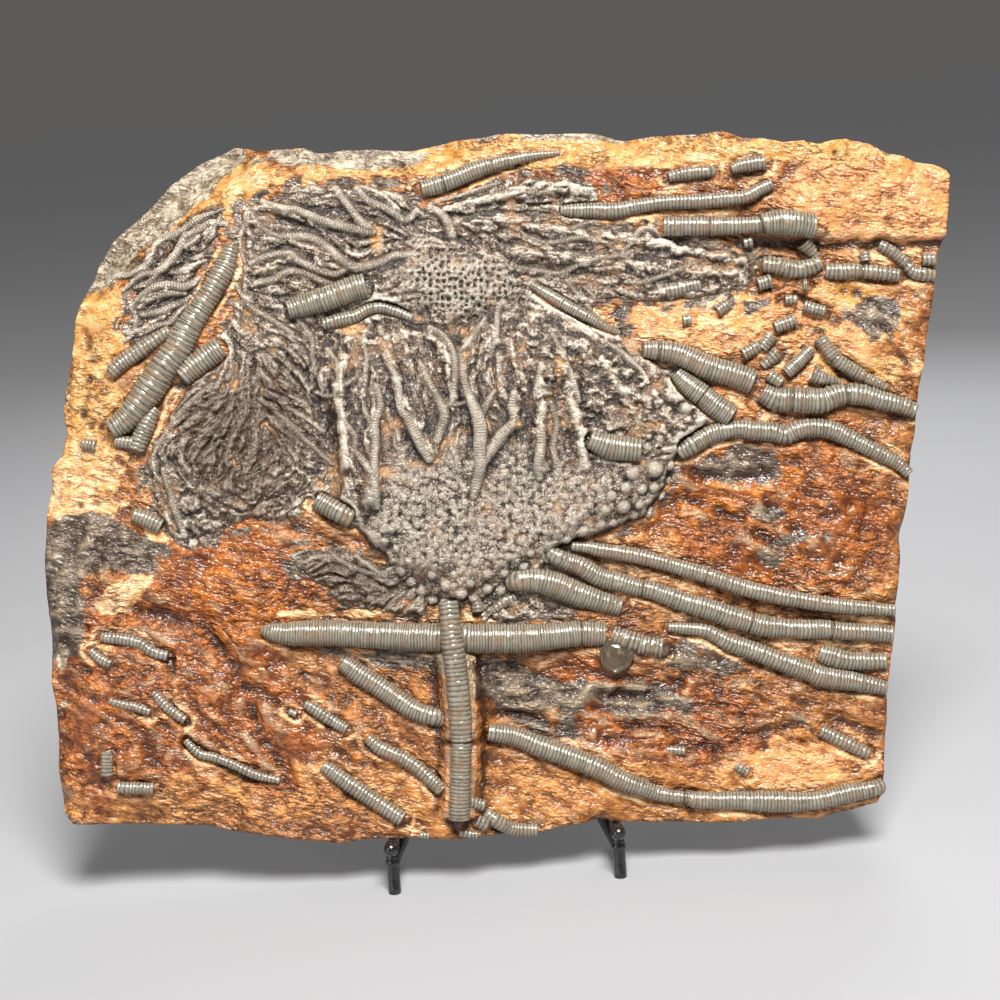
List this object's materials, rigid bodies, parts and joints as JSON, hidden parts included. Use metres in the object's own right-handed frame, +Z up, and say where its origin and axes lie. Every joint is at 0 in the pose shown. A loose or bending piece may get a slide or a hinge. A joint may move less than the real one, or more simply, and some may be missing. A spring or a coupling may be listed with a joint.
{
  "type": "crinoid fossil plate",
  "caption": "Limestone slab with a raised sea-lily crown, arms and stems on its face, leaning back on a small black rod easel.",
  "frame": {"origin": "on the surface it stands on, at the middle of its footprint box", "axes": "+X to the viewer's right along the slab's width, +Y away from the viewer, +Z up"},
  "size_m": [0.4158, 0.1886, 0.3248],
  "materials": {
    "limestone": "polished in places, chipped edges",
    "crown_calcite": "glossy varnish",
    "stem_calcite": "glossy varnish",
    "black_steel": "satin black"
  },
  "bodies": {
    "root": {"stone_slab": "limestone", "main_crown": "crown_calcite", "upper_calyx": "crown_calcite", "left_arm_fan": "crown_calcite", "upper_left_arms": "crown_calcite", "upper_right_arms": "crown_calcite", "corner_arms": "crown_calcite", "small_arm_fan": "crown_calcite", "bottom_edge_stem": "stem_calcite", "cross_stem": "stem_calcite", "cross_stem_end": "stem_calcite", "jointed_stem": "stem_calcite", "ledge_stem": "stem_calcite", "left_edge_stem": "stem_calcite", "left_stem_1": "stem_calcite", "left_stem_2": "stem_calcite", "left_stub": "stem_calcite", "loose_calyx_plate": "stem_calcite", "low_right_stem": "stem_calcite", "lower_branch_1": "stem_calcite", "lower_branch_2": "stem_calcite", "lower_branch_3": "stem_calcite", "lower_left_stem": "stem_calcite", "lower_right_stem": "stem_calcite", "main_stem": "stem_calcite", "pale_spindle": "stem_calcite", "ribbed_stem": "stem_calcite", "right_bent_stem": "stem_calcite", "right_crown_stem": "stem_calcite", "right_stem_1": "stem_calcite", "right_stem_2": "stem_calcite", "right_stem_3": "stem_calcite", "right_stem_4": "stem_calcite", "right_stem_5": "stem_calcite", "right_straight_stem": "stem_calcite", "right_wavy_stem_1": "stem_calcite", "right_wavy_stem_2": "stem_calcite", "short_spindle": "stem_calcite", "thick_inner_stem": "stem_calcite", "thin_inner_stem": "stem_calcite", "top_short_stem_1": "stem_calcite", "top_short_stem_2": "stem_calcite", "top_stem": "stem_calcite", "under_crown_stem": "stem_calcite", "under_ledge_stem_1": "stem_calcite", "under_ledge_stem_2": "stem_calcite", "under_ledge_stem_3": "stem_calcite", "upper_stem": "stem_calcite", "easel_arch": "black_steel", "left_arm": "black_steel", "left_brace": "black_steel", "left_front_leg": "black_steel", "left_prop_leg": "black_steel", "left_upright": "black_steel", "prop_floor_bar": "black_steel", "right_arm": "black_steel", "right_brace": "black_steel", "right_front_leg": "black_steel", "right_prop_leg": "black_steel", "right_upright": "black_steel"}
  },
  "joints": []
}
